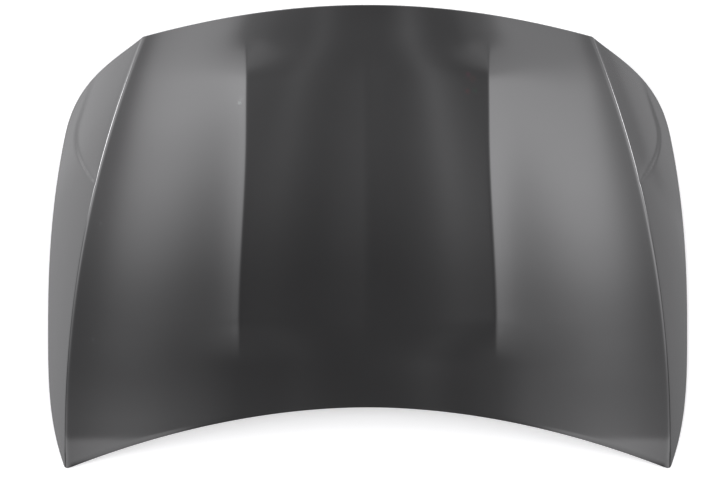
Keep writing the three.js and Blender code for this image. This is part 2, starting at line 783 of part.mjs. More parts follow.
// Head below, shank up through the pad
function boltGeometry(headTop) {
  const { diameter, length: shank, across, head, washer, washerHeight } = bolt;
  const parts = [
    extruded(hexagon(across), headTop - head, headTop - washerHeight / 2),
    extruded(disc(washer), headTop - washerHeight, headTop, 8),
    extruded(disc(diameter), headTop - washerHeight / 2, headTop + shank, 8),
  ];
  return geometryOf(wasm.Manifold.union(parts.map(solidOf)));
}

function strikerLoopGeometry(from) {
  const half = strikerSpan / 2;
  const bend = loopBend;
  const path = new THREE.CurvePath();
  const v = (x, z) => new THREE.Vector3(x, 0, z);
  const low = from - strikerDrop + strikerWire / 2;
  path.add(new THREE.LineCurve3(v(-half, from), v(-half, low + bend)));
  path.add(new THREE.QuadraticBezierCurve3(v(-half, low + bend), v(-half, low), v(bend - half, low)));
  path.add(new THREE.LineCurve3(v(bend - half, low), v(half - bend, low)));
  path.add(new THREE.QuadraticBezierCurve3(v(half - bend, low), v(half, low), v(half, low + bend)));
  path.add(new THREE.LineCurve3(v(half, low + bend), v(half, from)));
  const section = new THREE.Shape().absarc(0, 0, strikerWire / 2, 0, Math.PI * 2);
  const sweep = { extrudePath: path, steps: 24, curveSegments: 5 };
  return new THREE.ExtrudeGeometry(section, sweep);
}

// Assembly

const group = new THREE.Group();

function addMesh(name, geometry, finish, parent = group) {
  const mesh = new THREE.Mesh(geometry, new THREE.MeshStandardMaterial(finish));
  mesh.name = name;
  parent.add(mesh);
  return mesh;
}

function fittingGroup(frame) {
  const holder = new THREE.Group();
  frame.decompose(holder.position, holder.quaternion, holder.scale);
  group.add(holder);
  return holder;
}

const skinMesh = addMesh("outer_panel", outerPanel(nodes), steelPrimer);
const innerMesh = addMesh("inner_panel", innerPanel(), steelPrimer);

const inside = innerThickness - padDepth + seat; // where a fitting in a pad's hollow starts
const plateTop = -padDepth - seat;
const plateUnder = plateTop - strikerPlate.thickness;
const sides = ["left", "right"];

function addAt(x, ...mesh) {
  addMesh(...mesh).position.x = x;
}

const latch = fittingGroup(strikerFrame);
addMesh("striker_reinforcement", latchPlateGeometry(inside), steelPrimer, latch);
addMesh("striker_plate", plateGeometry(strikerPlate, strikerBolts, plateUnder), zincPlate, latch);
addMesh("striker_loop", strikerLoopGeometry(plateUnder - seat), zincPlate, latch);
const strikerNut = nutGeometry(inside + latchPlate.thickness + seat);
const strikerBolt = boltGeometry(plateUnder - seat);
strikerBolts.forEach((x, i) => {
  addAt(x, `striker_bolt_${sides[i]}`, strikerBolt, zincPlate, latch);
  addAt(x, `striker_weld_nut_${sides[i]}`, strikerNut, zincPlate, latch);
});

const hingeNut = nutGeometry(inside + hingePlate.thickness + seat);
const strutNut = nutGeometry(inside + strutPlate.thickness + seat);
sides.forEach((side, i) => {
  const hinge = fittingGroup(hingeFrames[i]);
  const hingeSteel = plateGeometry(hingePlate, hingeBolts, inside);
  addMesh(`hinge_reinforcement_${side}`, hingeSteel, steelPrimer, hinge);
  hingeBolts.forEach((x) => {
    const place = x < 0 === (i === 0) ? "outer" : "inner";
    addAt(x, `hinge_weld_nut_${side}_${place}`, hingeNut, zincPlate, hinge);
  });
  const strut = fittingGroup(strutFrames[i]);
  addMesh(`strut_reinforcement_${side}`, plateGeometry(strutPlate, [0], inside), steelPrimer, strut);
  addMesh(`strut_weld_nut_${side}`, strutNut, zincPlate, strut);
});

// Dabs of mastic between the lands and the skin: lateral place and place along
const dabReach = channelWall + dabRadius + dabMargin;
const dabSpots = [
  [0.42, (rearChannelEnd + dabReach) / clearLength],
  [0.12, 0.303],
  [0.78, 0.303],
  [0.44, 0.418],
  [0.1, 0.6],
  [0.8, 0.6],
  [0.38, 0.713],
  [0.36, 1 - (frontChannelEnd + dabReach) / clearLength],
  [0.8, 0.78],
];

function dabGeometry(x, y) {
  const sides = 8;
  const faceOn = (mesh, fromBelow, gap) => {
    const on = (px, py) => new THREE.Vector3(px, py, heightOn(mesh, px, py, fromBelow) + gap);
    const rim = Array.from({ length: sides }, (_, k) => {
      const a = ((k + 0.5) * Math.PI * 2) / sides;
      return on(x + dabRadius * Math.cos(a), y + dabRadius * Math.sin(a));
    });
    return { rim, centre: on(x, y) };
  };
  const upper = faceOn(skinMesh, true, -seat);
  const lower = faceOn(innerMesh, false, seat);
  const triangles = [];
  for (let k = 0; k < sides; k++) {
    const next = (k + 1) % sides;
    triangles.push(upper.centre, upper.rim[k], upper.rim[next]);
    triangles.push(lower.centre, lower.rim[next], lower.rim[k]);
    triangles.push(lower.rim[k], lower.rim[next], upper.rim[next]);
    triangles.push(lower.rim[k], upper.rim[next], upper.rim[k]);
  }
  return new THREE.BufferGeometry().setFromPoints(triangles);
}

dabSpots.forEach(([place, v], i) => {
  const p = gridPoint(place, v);
  addMesh(`mastic_dab_left_${i + 1}`, dabGeometry(-p.x, p.y), masticRubber);
  addMesh(`mastic_dab_right_${i + 1}`, dabGeometry(p.x, p.y), masticRubber);
});

// The floor is at Z = 0, under the middle of the bonnet's extent in plan.
const extent = new THREE.Box3().setFromObject(group);
group.position.set(0, -(extent.min.y + extent.max.y) / 2, -extent.min.z);

export default group;
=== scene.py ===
"""A car bonnet in dark primer, lying skin side up, seen from straight above."""
import math

import bpy
import numpy as np
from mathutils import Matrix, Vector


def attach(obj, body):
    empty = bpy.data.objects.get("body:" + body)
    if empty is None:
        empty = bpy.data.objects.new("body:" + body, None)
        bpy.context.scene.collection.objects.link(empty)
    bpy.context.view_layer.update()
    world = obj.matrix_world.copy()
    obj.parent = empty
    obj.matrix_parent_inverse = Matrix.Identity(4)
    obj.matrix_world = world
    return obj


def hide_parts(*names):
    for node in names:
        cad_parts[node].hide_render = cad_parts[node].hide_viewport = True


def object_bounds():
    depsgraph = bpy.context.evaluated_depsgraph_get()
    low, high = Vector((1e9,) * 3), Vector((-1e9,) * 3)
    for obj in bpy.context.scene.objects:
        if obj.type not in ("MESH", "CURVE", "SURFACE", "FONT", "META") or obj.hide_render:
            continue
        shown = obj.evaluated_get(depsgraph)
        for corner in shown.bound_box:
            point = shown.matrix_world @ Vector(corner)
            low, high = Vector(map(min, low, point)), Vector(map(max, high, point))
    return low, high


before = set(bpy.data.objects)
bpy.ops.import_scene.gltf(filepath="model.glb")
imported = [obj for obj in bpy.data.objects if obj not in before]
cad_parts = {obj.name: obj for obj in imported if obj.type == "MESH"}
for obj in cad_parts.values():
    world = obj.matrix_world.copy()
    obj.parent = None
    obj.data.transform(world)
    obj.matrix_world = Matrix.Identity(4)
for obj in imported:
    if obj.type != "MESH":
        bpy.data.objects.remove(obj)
CAD_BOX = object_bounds()

# Camera: straight above and far away, in metres. FIELD is the width it takes in on the floor.
CAMERA_X, CAMERA_Y, CAMERA_HEIGHT = -0.0193, -0.005, 9.5
FIELD = 1.825
SENSOR = 36.0
camera = bpy.data.objects.new("camera", bpy.data.cameras.new("camera"))
bpy.context.collection.objects.link(camera)
camera.location = (CAMERA_X, CAMERA_Y, CAMERA_HEIGHT)
camera.data.sensor_width = SENSOR
camera.data.lens = SENSOR * CAMERA_HEIGHT / FIELD
camera.data.clip_end = 100.0
bpy.context.scene.camera = camera

# Skin: the same curves as the solid's, in millimetres. x runs from the middle and y from the
# rear corners' tips; the offsets take both to the frame's origin.
OFFSET_Y, OFFSET_Z = -585.412, 2.484
HALF_WIDTH, LENGTH = 808.5, 1167.0

# Rear and front edges
REAR_BOW, REAR_BOW_POWER, REAR_CORNER_RADIUS = 161.0, 1.92, 15.0
FRONT_BOW, FRONT_BOW_POWER = 77.0, 1.95

# Flanks: widest at one place, tucked in behind it and ahead of it, then cut back beside the lamp
WIDEST_Y, REAR_TUCK, REAR_TUCK_POWER = 345.0, 43.0, 3.0
FLANK_FRONT_Y, FRONT_TUCK, FRONT_TUCK_POWER = 876.0, 49.0, 2.4
LAMP_CUT_START_Y, LAMP_CUT_END_Y = 850.0, 940.0
FLANK_SLOPE, FLANK_BULGE = 0.5, 0.00167

# Crease between crown and flank
CREASE_REAR_X, CREASE_FRONT_X, CREASE_POWER = 766.0, 565.0, 2.2
CREASE_FRONT_Y = LENGTH - FRONT_BOW
CREASE_ROUND = 3.0
EDGE_ARCH = 12.0

# Crown across the width
CROWN, CROWN_POWER, CROWN_TURN = 52.0, 1.5, 0.83
CROWN_SPAN = 1 - math.cos(math.pi * CROWN_TURN)
CROWN_END = math.pi * CROWN_TURN * CROWN_POWER * math.sin(math.pi * CROWN_TURN) / CROWN_SPAN

# Ridge along each side of the raised middle
RIDGE_REAR_X, RIDGE_FRONT_X = 321.5, 302.0
RIDGE_BOW_START_Y, RIDGE_BOW_END_Y = 330.0, 860.0
RIDGE_REAR_Y, RIDGE_REAR_FADE = 270.0, 110.0
RIDGE_FRONT_Y, RIDGE_FRONT_FADE = 1112.0, 150.0
RIDGE_HEIGHT, RIDGE_INSIDE, RIDGE_OUTSIDE, RIDGE_ROUND = 7.0, 150.0, 70.0, 3.0

# Leaf-shaped scoop in the flank beside the lamp, its step widening from tip to front
SCOOP_DEPTH, SCOOP_DEPTH_POWER = 2.5, 0.6
SCOOP_REAR_Y, SCOOP_FRONT_Y = 722.0, 1020.0
SCOOP_WIDTH, SCOOP_RISE, SCOOP_RISE_POWER = 97.0, 160.0, 1.9
SCOOP_STEP_REAR, SCOOP_STEP_FRONT = 5.0, 14.0
SCOOP_STEP_START, SCOOP_STEP_END = 0.15, 0.6

# Sheet and hem, and the hem's arcs in degrees with their number of loops
SKIN, HEM, HEM_RETURN = 0.8, 3.4, 10.0
OUTER_BEND = (72, -90, 10)
INNER_BEND = (-90, 60, 5)


def smoothstep(x, low, high):
    t = np.clip((x - low) / (high - low), 0, 1)
    return t * t * (3 - 2 * t)


def smootherstep(t):
    t = np.clip(t, 0, 1)
    return t ** 3 * (6 * t * t - 15 * t + 10)


def crease_x(y):
    share = np.maximum(y, 0) / CREASE_FRONT_Y
    return CREASE_REAR_X - (CREASE_REAR_X - CREASE_FRONT_X) * share ** CREASE_POWER


def ridge_x(y):
    bow = smoothstep(y, RIDGE_BOW_START_Y, RIDGE_BOW_END_Y)
    return RIDGE_REAR_X + (RIDGE_FRONT_X - RIDGE_REAR_X) * bow


def flank_x(y):
    behind = np.maximum(WIDEST_Y - y, 0) / WIDEST_Y
    ahead = np.maximum(y - WIDEST_Y, 0) / (FLANK_FRONT_Y - WIDEST_Y)
    rear = HALF_WIDTH - REAR_TUCK * behind ** REAR_TUCK_POWER
    front = HALF_WIDTH - FRONT_TUCK * ahead ** FRONT_TUCK_POWER
    return np.where(y < WIDEST_Y, rear, front)


def rear_edge_y(x):
    return REAR_BOW * (1 - (np.abs(x) / CREASE_REAR_X) ** REAR_BOW_POWER)


def front_edge_y(x):
    return LENGTH - FRONT_BOW * (np.abs(x) / CREASE_FRONT_X) ** FRONT_BOW_POWER


def flank_fall(d):
    return FLANK_SLOPE * d * (1 + FLANK_BULGE * d)


def crown_fall(s):
    wave = (1 - np.cos(np.pi * CROWN_TURN * np.minimum(s, 1) ** CROWN_POWER)) / CROWN_SPAN
    return wave + CROWN_END * np.maximum(s - 1, 0)


def crease_height(y):
    width = flank_x(y) - crease_x(y)
    middle = FLANK_FRONT_Y / 2
    edge = EDGE_ARCH * (1 - ((y - middle) / middle) ** 2)
    return edge + flank_fall(width) + CROWN * CROWN_END * width / crease_x(y)


def ridge(x, y):
    d = x - ridge_x(y)
    reach = np.where(d < 0, RIDGE_INSIDE, RIDGE_OUTSIDE)
    fade = smoothstep(y, RIDGE_REAR_Y, RIDGE_REAR_Y + RIDGE_REAR_FADE)
    fade = fade * smootherstep((RIDGE_FRONT_Y - y) / RIDGE_FRONT_FADE)
    return RIDGE_HEIGHT * fade * np.exp((RIDGE_ROUND - np.hypot(d, RIDGE_ROUND)) / reach)


def scoop(x, y):
    """Depth of the leaf-shaped hollow, with a crisp step at its rear tip."""
    t = np.clip((y - SCOOP_REAR_Y) / (SCOOP_FRONT_Y - SCOOP_REAR_Y), 0, 1)
    rise = np.clip((y - SCOOP_REAR_Y) / SCOOP_RISE, 0, 1)
    reach = SCOOP_WIDTH * (1 - (1 - rise) ** SCOOP_RISE_POWER)
    from_crease = x - crease_x(y)
    share = np.clip(from_crease / np.maximum(reach, 1), 0, 1)
    widening = smoothstep(t, SCOOP_STEP_START, SCOOP_STEP_END)
    step = SCOOP_STEP_REAR + (SCOOP_STEP_FRONT - SCOOP_STEP_REAR) * widening
    inside = smoothstep(reach - from_crease, 0, step)
    return SCOOP_DEPTH * (1 - t) ** SCOOP_DEPTH_POWER * share * inside


def skin_height(x, y):
    across = np.abs(x)
    beyond = across - crease_x(y)
    rounded = (beyond + np.hypot(beyond, CREASE_ROUND)) / 2
    upper = crease_height(y) + CROWN * (1 - crown_fall(across / crease_x(y)))
    return upper + ridge(across, y) - flank_fall(rounded) - scoop(across, y)


def skin_normal(x, y, step=0.5):
    n = np.stack([
        skin_height(x - step, y) - skin_height(x + step, y),
        skin_height(x, y - step) - skin_height(x, y + step),
        np.full(np.shape(x), 2 * step),
    ], axis=-1)
    return n / np.linalg.norm(n, axis=-1, keepdims=True)


# Outline of the right half, in two runs: the side with its rear corner, and the lamp's cut.
# Handles are shares of a curve's span, and the rear corner's are in millimetres.
SIDE_POINTS, LAMP_CUT_POINTS, CORNER_POINTS = 400, 500, 24
SIDE_HANDLE, LAMP_CUT_HANDLE = 0.46, 0.28
LAMP_CUT_HEADING = (-1, 0.8)
CORNER_TIP_BACK, CORNER_TIP_RISE = 0.35, 0.22
CORNER_TIP_HANDLE, CORNER_SIDE_HANDLE = (6, 0), (1.5, 8.0)


def bezier(p0, p1, p2, p3, count):
    t = np.linspace(0, 1, count)[:, None]
    return (1 - t) ** 3 * p0 + 3 * t * (1 - t) ** 2 * p1 + 3 * t * t * (1 - t) * p2 + t ** 3 * p3


def side_outline():
    ys = np.linspace(REAR_CORNER_RADIUS, LAMP_CUT_START_Y, SIDE_POINTS)
    run = np.stack([flank_x(ys), ys], axis=1)
    start, corner = run[-1], np.array([CREASE_FRONT_X, CREASE_FRONT_Y])
    heading = (run[-1] - run[-2]) / np.linalg.norm(run[-1] - run[-2])
    cut = np.array(LAMP_CUT_HEADING) / math.hypot(*LAMP_CUT_HEADING)
    span = np.linalg.norm(corner - start)
    leave = start + heading * span * SIDE_HANDLE
    arrive = corner - cut * span * LAMP_CUT_HANDLE
    bend = bezier(start, leave, arrive, corner, LAMP_CUT_POINTS)
    split = int(np.argmax(bend[:, 1] > LAMP_CUT_END_Y))
    tip = np.array([
        CREASE_REAR_X - REAR_CORNER_RADIUS * CORNER_TIP_BACK,
        REAR_CORNER_RADIUS * CORNER_TIP_RISE,
    ])
    corner_arc = bezier(
        tip, tip + CORNER_TIP_HANDLE, run[0] - CORNER_SIDE_HANDLE, run[0], CORNER_POINTS)
    side = np.concatenate([corner_arc, run[1:], bend[1:split + 1]])
    return side, bend[split:][::-1]


SIDE, LAMP_CUT = side_outline()


def along(points, share):
    reach = np.concatenate([[0], np.cumsum(np.linalg.norm(np.diff(points, axis=0), axis=1))])
    target = np.clip(share, 0, 1) * reach[-1]
    return np.stack([np.interp(target, reach, points[:, k]) for k in (0, 1)], axis=-1)


# Grid of the skin. Rows run across, and v goes from the rear edge, 0, to the front edge, 1.
# A place across goes from the middle, 0, over the crease, 1, to the side, 2. Rows and places
# crowd together along the edges, the ridge and the crease.
ROW_RUNS = [
    (0, 0.001, 1), (0.001, 0.012, 3), (0.012, 0.62, 62),
    (0.62, 0.985, 66), (0.985, 0.999, 3), (0.999, 1, 1),
]
FLANK_RUNS = [(1, 1.12, 9), (1.12, 1.97, 24), (1.97, 1.994, 2), (1.994, 2, 1)]
RIDGE_BAND, CREASE_BAND = 22.0, 14.0
INSIDE_COLUMNS, RIDGE_COLUMNS, OUTSIDE_COLUMNS, CREASE_COLUMNS = 22, 14, 28, 8
RIDGE_SAMPLE_X = 300.0
NARROWEST_FLANK, NARROW_UNTIL = 16.0, 0.5
CREASE_START = 0.8
EDGE_EASE = 6


def crease_point(v):
    y = REAR_CORNER_RADIUS * CREASE_START * (1 - v) + CREASE_FRONT_Y * v
    flank = flank_x(y) - crease_x(y)
    shift = np.maximum(NARROWEST_FLANK - flank, 0) * (1 - smoothstep(v, NARROW_UNTIL, 1))
    x = crease_x(y) - shift
    rear_shift = rear_edge_y(x) - rear_edge_y(crease_x(y))
    return np.stack([x, y + rear_shift * (1 - v) ** EDGE_EASE], axis=-1)


def grid_point(place, v):
    """Plan point at a place across and a share v of the way to the front."""
    rear_x = CREASE_REAR_X - NARROWEST_FLANK
    rear_inner = np.array([rear_x, rear_edge_y(rear_x)])
    inner = np.where((v > 0)[..., None], crease_point(v), rear_inner)
    share = np.minimum(place, 1)
    rear = rear_edge_y(share * rear_inner[0]) - rear_inner[1]
    front = front_edge_y(share * CREASE_FRONT_X) - CREASE_FRONT_Y
    crown_y = inner[..., 1] + rear * (1 - v) + front * v
    crown_part = np.stack([share * inner[..., 0], crown_y], axis=-1)
    t = np.clip(place - 1, 0, 1)
    beyond = t[..., None]
    chord = np.array([CREASE_FRONT_X, CREASE_FRONT_Y]) * (1 - beyond) + LAMP_CUT[-1] * beyond
    bow = along(LAMP_CUT, t) - chord
    straight = inner * (1 - beyond) + along(SIDE, v) * beyond
    flank_part = straight + bow * (v ** EDGE_EASE)[..., None]
    return np.where((place <= 1)[..., None], crown_part, flank_part)


def spread(runs):
    """Values from start to end in even steps, for each (start, end, count)."""
    values = [np.linspace(start, end, count, endpoint=False) for start, end, count in runs]
    return np.concatenate(values + [np.array([runs[-1][1]])])


def plan_grid():
    """Plan points of the whole skin, row by row from the rear, each row from left to right."""
    rows = spread(ROW_RUNS)
    v = rows[:, None]
    y_mid = rear_edge_y(RIDGE_SAMPLE_X) * (1 - rows) + front_edge_y(RIDGE_SAMPLE_X) * rows
    half = crease_point(rows)[:, 0]
    ridge_place = (ridge_x(y_mid) / half)[:, None]
    near = RIDGE_BAND / half[:, None]
    crease_near = CREASE_BAND / half[:, None]

    def steps(start, count):
        return np.linspace(start, 1, count, endpoint=False)[None]

    flank = spread(FLANK_RUNS)
    place = np.concatenate([
        steps(0, INSIDE_COLUMNS) * (ridge_place - near),
        ridge_place + near * steps(-1, RIDGE_COLUMNS),
        ridge_place + near + steps(0, OUTSIDE_COLUMNS) * (1 - crease_near - ridge_place - near),
        1 - crease_near + crease_near * steps(0, CREASE_COLUMNS),
        np.broadcast_to(flank[None], (len(rows), len(flank))),
    ], axis=1)
    right = grid_point(place, np.broadcast_to(v, place.shape))
    left = right[:, :0:-1] * np.array([-1, 1])
    return np.concatenate([left, right], axis=1)


def to_metres(points):
    return (points + np.array([0, OFFSET_Y, OFFSET_Z])) / 1000


def unit(vectors):
    return vectors / np.linalg.norm(vectors, axis=1, keepdims=True)


def hem_loops(ring, n):
    """Loops from the rim over the bend, back under the skin, and up inside the bend."""
    tangent = unit(np.roll(ring, -1, axis=0) - np.roll(ring, 1, axis=0))
    out = unit(np.cross(tangent, n))
    centre = ring - n * (HEM / 2)

    def arc(radius, start, end, count):
        turns = np.radians(np.linspace(start, end, count))
        return [centre + radius * (math.cos(a) * out + math.sin(a) * n) for a in turns]

    flat = ring[:, :2] - unit(out[:, :2]) * HEM_RETURN
    x, y = flat[:, 0], flat[:, 1]
    foot, down = np.stack([x, y, skin_height(x, y)], axis=1), skin_normal(x, y)
    returned = [foot - down * HEM, foot - down * (HEM - SKIN)]
    return arc(HEM / 2, *OUTER_BEND) + returned + arc(HEM / 2 - SKIN, *INNER_BEND)


def make_skin():
    """One closed sheet: its top, its underside, and the folded hem that joins them."""
    plan = plan_grid()
    rows, columns = plan.shape[:2]
    x, y = plan[..., 0].ravel(), plan[..., 1].ravel()
    z, n = skin_height(x, y), skin_normal(x, y)
    top = np.stack([x, y, z], axis=1)
    under = top - n * SKIN
    count = len(top)
    index = np.arange(count).reshape(rows, columns)
    rim = np.concatenate([index[0], index[1:-1, -1], index[-1, ::-1], index[-2:0:-1, 0]])
    loops = hem_loops(top[rim], n[rim])
    corners = [index[:-1, :-1], index[:-1, 1:], index[1:, 1:], index[1:, :-1]]
    quads = np.stack(corners, axis=-1).reshape(-1, 4)
    faces = [quads, quads[:, ::-1] + count]
    chain = [rim] + [2 * count + k * len(rim) + np.arange(len(rim)) for k in range(len(loops))]
    chain.append(rim + count)
    for a, b in zip(chain, chain[1:]):
        faces.append(np.stack([a, b, np.roll(b, -1), np.roll(a, -1)], axis=1))
    places = to_metres(np.concatenate([top, under] + loops))
    places = np.clip(places, CAD_BOX[0], CAD_BOX[1])
    mesh = bpy.data.meshes.new("outer_skin")
    mesh.from_pydata(places.tolist(), [], np.concatenate(faces).tolist())
    mesh.shade_smooth()
    skin = bpy.data.objects.new("outer_skin", mesh)
    bpy.context.collection.objects.link(skin)
    return skin


# Nodes

# Most of a noise texture's values lie between these two
NOISE_LOW, NOISE_HIGH = 0.3, 0.7

# Sockets of a Mix node that is set to colours
MIX_A, MIX_B, MIX_RESULT = 6, 7, 2


def feed(tree, socket, value):
    """Sets a socket to a plain value, or links it to the socket that gives it."""
    if isinstance(value, bpy.types.NodeSocket):
        tree.links.new(value, socket)
    else:
        socket.default_value = value


def add_node(tree, kind, inputs=None, **settings):
    node = tree.nodes.new("ShaderNode" + kind)
    for name, value in settings.items():
        setattr(node, name, value)
    for key, value in (inputs or {}).items():
        feed(tree, node.inputs[key], value)
    return node


def math_node(tree, operation, *values):
    return add_node(tree, "Math", dict(enumerate(values)), operation=operation).outputs[0]


def noise(tree, scale, detail=3.0):
    """Noise in the object's own space, so that its scale is in features per metre."""
    place = add_node(tree, "TexCoord").outputs["Object"]
    inputs = {"Vector": place, "Scale": scale, "Detail": detail}
    return add_node(tree, "TexNoise", inputs).outputs["Fac"]


def mapped(tree, value, low, high):
    """Spreads a noise over a range of values."""
    return add_node(tree, "MapRange", {
        "Value": value, "From Min": NOISE_LOW, "From Max": NOISE_HIGH,
        "To Min": low, "To Max": high,
    }).outputs["Result"]


def varied_color(tree, value, dark, light):
    ramp = add_node(tree, "ValToRGB", {"Fac": value})
    ends = ramp.color_ramp.elements
    ends[0].position, ends[1].position = NOISE_LOW, NOISE_HIGH
    ends[0].color, ends[1].color = (*dark, 1), (*light, 1)
    return ramp.outputs["Color"]


def bump(tree, shader, value, strength, distance):
    node = add_node(tree, "Bump", {"Height": value, "Strength": strength, "Distance": distance})
    feed(tree, shader.inputs["Normal"], node.outputs["Normal"])


def new_material(name, color, roughness, metallic=0.0):
    material = bpy.data.materials.new(name)
    material.use_nodes = True
    tree = material.node_tree
    shader = tree.nodes["Principled BSDF"]
    shader.inputs["Base Color"].default_value = (*color, 1)
    shader.inputs["Roughness"].default_value = roughness
    shader.inputs["Metallic"].default_value = metallic
    return material, tree, shader


# Materials

PRIMER, PRIMER_DARK, PRIMER_LIGHT = (
    (0.0238, 0.0236, 0.0240), (0.0223, 0.0221, 0.0225), (0.0254, 0.0252, 0.0257))
COAT_IOR = 1.8

# How far the roughness strays below and above its own value, the peel's depth in metres, and
# the scale of the noise that breaks up a mark
SMOOTHER_BY, ROUGHER_BY = 0.008, 0.012
PEEL_DEPTH = 0.0002
MARK_GRAIN = 110.0

# Faint scuffs and stains: colour, place from the centre in metres, radius and strength
MARKS = [
    ((0.22, 0.25, 0.24), (-0.3205, 0.338), 0.008, 0.5),
    ((0.14, 0.16, 0.15), (-0.316, 0.348), 0.011, 0.25),
    ((0.18, 0.20, 0.20), (-0.672, 0.038), 0.005, 0.25),
    ((0.18, 0.20, 0.20), (-0.692, -0.256), 0.005, 0.25),
    ((0.075, 0.025, 0.038), (0.251, 0.409), 0.010, 0.7),
    ((0.060, 0.028, 0.025), (0.262, 0.398), 0.013, 0.45),
    ((0.070, 0.024, 0.025), (0.250, 0.367), 0.010, 0.65),
    ((0.020, 0.045, 0.030), (0.268, 0.369), 0.010, 0.6),
]


def marked(tree, color, tint, centre, radius, amount):
    """Mixes in a small blotch around a place on the plan, its outline broken by noise."""
    place = add_node(tree, "TexCoord").outputs["Object"]
    flat = add_node(tree, "VectorMath", {0: place, 1: (1, 1, 0)}, operation="MULTIPLY")
    away = add_node(
        tree, "VectorMath", {0: flat.outputs["Vector"], 1: (*centre, 0)}, operation="DISTANCE")
    fade = add_node(tree, "MapRange", {
        "Value": away.outputs["Value"], "From Max": radius, "To Min": amount, "To Max": 0,
    }, interpolation_type="SMOOTHSTEP").outputs["Result"]
    grain = mapped(tree, noise(tree, MARK_GRAIN), low=0.5, high=1.2)
    share = math_node(tree, "MULTIPLY", fade, grain)
    inputs = {"Factor": share, MIX_A: color, MIX_B: (*tint, 1)}
    return add_node(tree, "Mix", inputs, data_type="RGBA").outputs[MIX_RESULT]


def primer(name, roughness, peel, level, coat):
    """Dark electrocoat, even in colour, with a faint orange peel and the marks."""
    material, tree, shader = new_material(name, PRIMER, roughness)
    shader.inputs["Specular IOR Level"].default_value = level
    shader.inputs["Coat Weight"].default_value = coat
    shader.inputs["Coat Roughness"].default_value = roughness
    shader.inputs["Coat IOR"].default_value = COAT_IOR
    color = varied_color(tree, noise(tree, scale=3.0), PRIMER_DARK, PRIMER_LIGHT)
    for mark in MARKS:
        color = marked(tree, color, *mark)
    feed(tree, shader.inputs["Base Color"], color)
    fine = noise(tree, scale=14.0, detail=4.0)
    sheen = mapped(tree, fine, low=roughness - SMOOTHER_BY, high=roughness + ROUGHER_BY)
    feed(tree, shader.inputs["Roughness"], sheen)
    bump(tree, shader, noise(tree, scale=420.0, detail=2.0), strength=peel, distance=PEEL_DEPTH)
    return material


def zinc_plate():
    """Pale yellow-grey plating, mottled, with a fine grain."""
    material, tree, shader = new_material(
        "zinc_plate", (0.55, 0.53, 0.46), roughness=0.38, metallic=1.0)
    mottle = noise(tree, scale=90.0)
    color = varied_color(tree, mottle, dark=(0.46, 0.44, 0.37), light=(0.62, 0.60, 0.54))
    feed(tree, shader.inputs["Base Color"], color)
    sheen = mapped(tree, noise(tree, scale=260.0), low=0.3, high=0.48)
    feed(tree, shader.inputs["Roughness"], sheen)
    bump(tree, shader, noise(tree, scale=700.0), strength=0.15, distance=0.0002)
    return material


def mastic_compound():
    """Black, matt and slightly lumpy."""
    material, tree, shader = new_material("mastic", (0.012, 0.012, 0.013), roughness=0.8)
    mottle = noise(tree, scale=120.0)
    color = varied_color(tree, mottle, dark=(0.009, 0.009, 0.01), light=(0.018, 0.018, 0.019))
    feed(tree, shader.inputs["Base Color"], color)
    bump(tree, shader, noise(tree, scale=180.0), strength=0.5, distance=0.001)
    return material


skin_primer = primer("skin_primer", roughness=0.075, peel=0.008, level=1.0, coat=1.0)
inner_primer = primer("inner_primer", roughness=0.36, peel=0.08, level=0.7, coat=0.0)
zinc = zinc_plate()
mastic = mastic_compound()

for name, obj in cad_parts.items():
    if name.startswith("mastic"):
        finish = mastic
    elif "nut" in name or "bolt" in name or name in ("striker_plate", "striker_loop"):
        finish = zinc
    else:
        finish = inner_primer
    for slot in obj.material_slots:
        slot.material = finish

outer_skin = make_skin()
outer_skin.data.materials.append(skin_primer)
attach(outer_skin, "root")
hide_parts("outer_panel")

# Floor: pale, with a glow of its own wherever it is looked at, so that it comes out white and
# keeps its shadow
FLOOR_REACH = 9.0
FLOOR_COLOR, FLOOR_ROUGHNESS, FLOOR_GLOW = (0.9, 0.9, 0.9), 0.9, 0.45


def make_floor():
    low, high = -FLOOR_REACH, FLOOR_REACH
    corners = [(low, low, 0), (high, low, 0), (high, high, 0), (low, high, 0)]
    mesh = bpy.data.meshes.new("floor")
    mesh.from_pydata(corners, [], [(0, 1, 2, 3)])
    floor = bpy.data.objects.new("floor", mesh)
    bpy.context.collection.objects.link(floor)
    material, tree, shader = new_material("floor", FLOOR_COLOR, FLOOR_ROUGHNESS)
    rays = add_node(tree, "LightPath").outputs
    mirrored = math_node(tree, "MAXIMUM", rays["Is Glossy Ray"], rays["Is Transmission Ray"])
    looked_at = math_node(tree, "MAXIMUM", rays["Is Camera Ray"], mirrored)
    strength = math_node(tree, "MULTIPLY", looked_at, FLOOR_GLOW)
    glow = add_node(tree, "Emission", {"Strength": strength})
    both = add_node(tree, "AddShader", {0: shader.outputs["BSDF"], 1: glow.outputs["Emission"]})
    feed(tree, tree.nodes["Material Output"].inputs["Surface"], both.outputs["Shader"])
    mesh.materials.append(material)


make_floor()

# Light: the world is a studio of soft areas, each a curve over the angles from straight up, in
# degrees, towards the side and towards the nose
LIGHT_LEVEL = 0.53
LIGHT_COLOR = (0.985, 0.98, 1, 1)
CURVE_TOP = 25.0
DEGREES = 180 / math.pi

world = bpy.data.worlds.new("studio")
bpy.context.scene.world = world
world.use_nodes = True
studio = world.node_tree


def combine(operation, *values):
    return math_node(studio, operation, *values)


def curve_of(value, points):
    """A line through (input, output) points, the outputs at most CURVE_TOP."""
    low, high = points[0][0], points[-1][0]
    place = add_node(studio, "MapRange", {"Value": value, "From Min": low, "From Max": high})
    node = add_node(studio, "FloatCurve", {"Value": place.outputs["Result"]})
    line = node.mapping.curves[0]
    for i, (x, y) in enumerate(points):
        at = ((x - low) / (high - low), y / CURVE_TOP)
        if i < 2:
            line.points[i].location = at
        else:
            line.points.new(*at)
    for point in line.points:
        point.handle_type = "VECTOR"
    node.mapping.update()
    return combine("MULTIPLY", node.outputs["Value"], CURVE_TOP)


